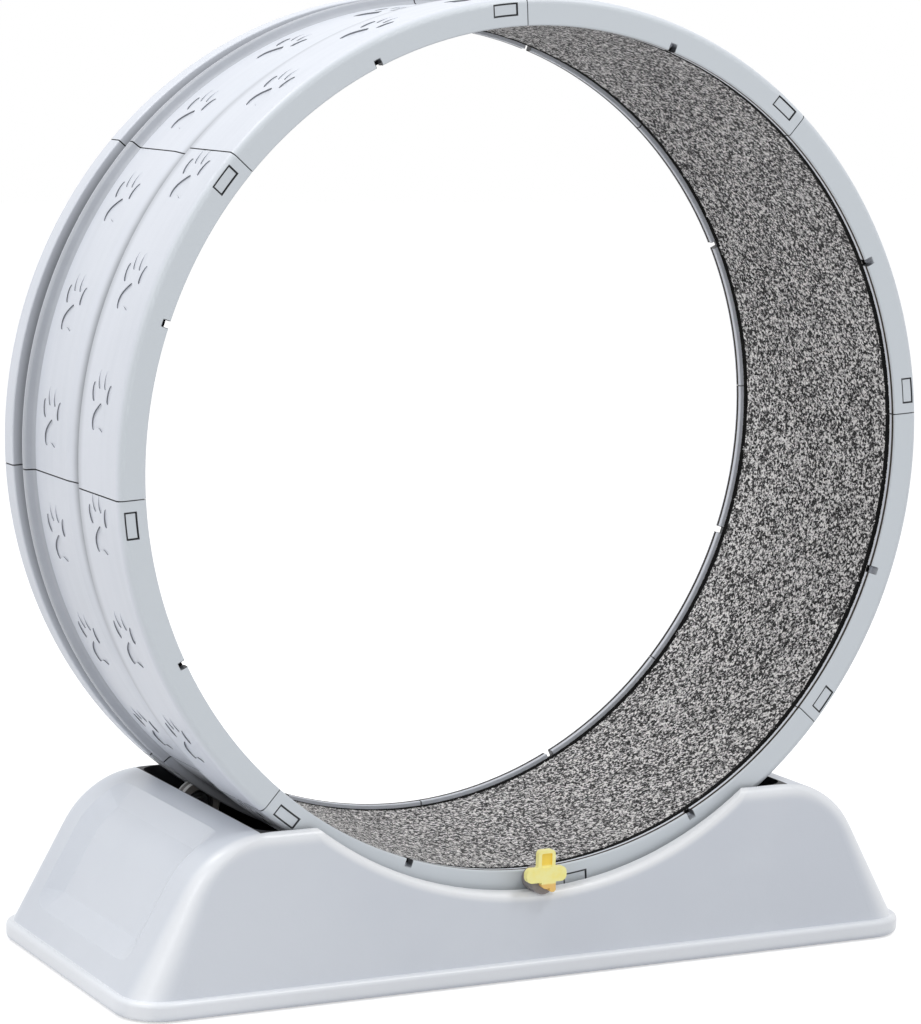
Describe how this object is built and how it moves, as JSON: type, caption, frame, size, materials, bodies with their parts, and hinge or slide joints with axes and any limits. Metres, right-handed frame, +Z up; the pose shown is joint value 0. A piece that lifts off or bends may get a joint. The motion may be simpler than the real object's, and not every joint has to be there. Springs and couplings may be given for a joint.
{
  "type": "cat exercise wheel",
  "caption": "Free-standing running wheel for cats: a carpet-lined drum of snap-together segments rides on rollers in a low hollow base with a lock lever.",
  "frame": {"origin": "on the floor, under the middle of the base", "axes": "+Z up; +Y along the wheel's axis, away from the lip with the lock lever; +X along the base, to the right seen from that lip"},
  "size_m": [0.9, 0.385, 0.976],
  "materials": {
    "drum_plastic": "satin light blue-grey, faint moulding texture",
    "base_plastic": "satin light grey",
    "carpet": "salt-and-pepper loop pile",
    "tyre_rubber": "satin grey-brown",
    "hub_plastic": "matt dark",
    "bracket_plastic": "matt dark grey",
    "steel": "zinc plated",
    "boss_plastic": "satin grey",
    "lever_plastic": "glossy light yellow",
    "pad_rubber": "matt black"
  },
  "bodies": {
    "base": {"base_shell": "base_plastic", "base_feet": "pad_rubber", "roller_axle_front_left": "steel", "roller_bracket_front_left": "bracket_plastic", "roller_axle_front_right": "steel", "roller_bracket_front_right": "bracket_plastic", "roller_axle_back_left": "steel", "roller_bracket_back_left": "bracket_plastic", "roller_axle_back_right": "steel", "roller_bracket_back_right": "bracket_plastic", "roller_spacers": "steel", "axle_nuts": "steel", "bracket_screws": "steel", "lock_boss": "boss_plastic"},
    "wheel": {"wheel_segment_1": "drum_plastic", "wheel_segment_2": "drum_plastic", "wheel_segment_3": "drum_plastic", "wheel_segment_4": "drum_plastic", "wheel_segment_5": "drum_plastic", "wheel_segment_6": "drum_plastic", "wheel_segment_7": "drum_plastic", "wheel_segment_8": "drum_plastic", "running_mat": "carpet"},
    "roller_front_left": {"roller_tyre_front_left": "tyre_rubber", "roller_hub_front_left": "hub_plastic", "roller_bearing_front_left": "steel"},
    "roller_front_right": {"roller_tyre_front_right": "tyre_rubber", "roller_hub_front_right": "hub_plastic", "roller_bearing_front_right": "steel"},
    "roller_back_left": {"roller_tyre_back_left": "tyre_rubber", "roller_hub_back_left": "hub_plastic", "roller_bearing_back_left": "steel"},
    "roller_back_right": {"roller_tyre_back_right": "tyre_rubber", "roller_hub_back_right": "hub_plastic", "roller_bearing_back_right": "steel"},
    "lock_lever": {"lock_lever": "lever_plastic"},
    "brake_pin": {"brake_pin": "hub_plastic", "brake_pad": "pad_rubber"}
  },
  "joints": [
    {"name": "wheel_spin", "type": "hinge", "parent": "base", "child": "wheel", "pos_m": [0, 0, 0.526], "axis": [0, -1, 0], "continuous": true},
    {"name": "roller_spin_front_left", "type": "hinge", "parent": "base", "child": "roller_front_left", "pos_m": [-0.25516, -0.116, 0.12855], "axis": [0, -1, 0], "continuous": true},
    {"name": "roller_spin_front_right", "type": "hinge", "parent": "base", "child": "roller_front_right", "pos_m": [0.25516, -0.116, 0.12855], "axis": [0, -1, 0], "continuous": true},
    {"name": "roller_spin_back_left", "type": "hinge", "parent": "base", "child": "roller_back_left", "pos_m": [-0.24921, 0.116, 0.13781], "axis": [0, -1, 0], "continuous": true},
    {"name": "roller_spin_back_right", "type": "hinge", "parent": "base", "child": "roller_back_right", "pos_m": [0.24921, 0.116, 0.13781], "axis": [0, -1, 0], "continuous": true},
    {"name": "lever_turn", "type": "hinge", "parent": "base", "child": "lock_lever", "pos_m": [0, -0.18, 0.098], "axis": [0, 1, 0], "range_deg": [0, 90]},
    {"name": "brake_push", "type": "slide", "parent": "base", "child": "brake_pin", "axis": [0, 1, 0], "range_m": [0, 0.0044]}
  ],
  "couplings": [
    {"joint": "roller_spin_front_left", "follows": "wheel_spin", "ratio": -19.522},
    {"joint": "roller_spin_front_right", "follows": "wheel_spin", "ratio": -19.522},
    {"joint": "roller_spin_back_left", "follows": "wheel_spin", "ratio": -19.044},
    {"joint": "roller_spin_back_right", "follows": "wheel_spin", "ratio": -19.044},
    {"joint": "brake_push", "follows": "lever_turn", "m_per_rad": 0.0028}
  ]
}
